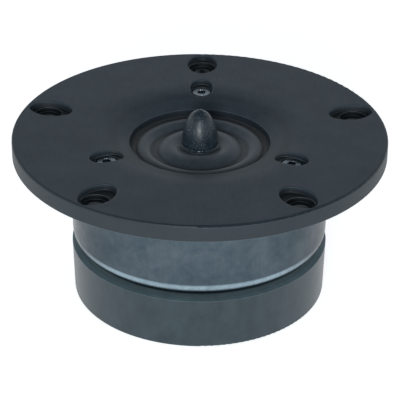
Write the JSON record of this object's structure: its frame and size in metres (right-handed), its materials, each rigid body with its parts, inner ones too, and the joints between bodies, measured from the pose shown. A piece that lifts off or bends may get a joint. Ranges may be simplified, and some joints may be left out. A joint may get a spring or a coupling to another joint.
{
  "type": "ring-radiator tweeter",
  "caption": "Round flange-mount car tweeter: dual-roll ring membrane round a bullet phase plug, waveguide faceplate, ferrite motor in a plated can, rear damping chamber.",
  "frame": {"origin": "centre of the flat rear face of the chamber, which the tweeter stands on", "axes": "+Z along the axis of symmetry, out of the faceplate; +Y towards the fixing hole that lies in line with a faceplate screw"},
  "size_m": [0.104, 0.104, 0.0544],
  "materials": {
    "faceplate_moulding": "fine textured moulding",
    "screw_steel": "bright zinc plate",
    "gasket": "closed-cell foam",
    "membrane": "coated textile",
    "carrier_moulding": "moulded",
    "tab_metal": "tin plate",
    "rivet_metal": "nickel plate",
    "former": "foil",
    "winding": "enamelled copper",
    "lead_wire": "braided copper",
    "motor_steel": "zinc plate",
    "ferrite": "ground ferrite",
    "copper": "plain copper",
    "plug_paint": "satin metallic paint",
    "clamp_moulding": "moulded",
    "can_steel": "zinc plate, slightly mottled",
    "chamber_moulding": "semi-gloss moulding",
    "felt": "polyester felt"
  },
  "bodies": {
    "tweeter": {"faceplate": "faceplate_moulding", "faceplate_screws": "screw_steel", "front_gasket": "gasket", "ring_diaphragm": "membrane", "diaphragm_carrier": "carrier_moulding", "terminal_tab_positive": "tab_metal", "terminal_tab_negative": "tab_metal", "terminal_rivets": "rivet_metal", "lead_wires": "lead_wire", "top_plate": "motor_steel", "pole_yoke": "motor_steel", "ferrite_magnet": "ferrite", "copper_cap": "copper", "phase_plug": "plug_paint", "inner_clamp_ring": "clamp_moulding", "inner_spacer": "carrier_moulding", "plug_stud": "screw_steel", "motor_can": "can_steel", "rear_chamber_cup": "chamber_moulding", "rear_chamber_lid": "chamber_moulding", "chamber_gasket": "gasket", "chamber_screws": "screw_steel", "chamber_damping_wad": "felt"},
    "voice_coil": {"voice_coil_former": "former", "voice_coil_winding": "winding"}
  },
  "joints": [
    {"name": "coil_travel", "type": "slide", "parent": "tweeter", "child": "voice_coil", "axis": [0, 0, 1], "range_m": [-0.0004, 0.0004], "stiffness_N_per_m": 3000, "deforming": ["ring_diaphragm", "lead_wires"]}
  ]
}
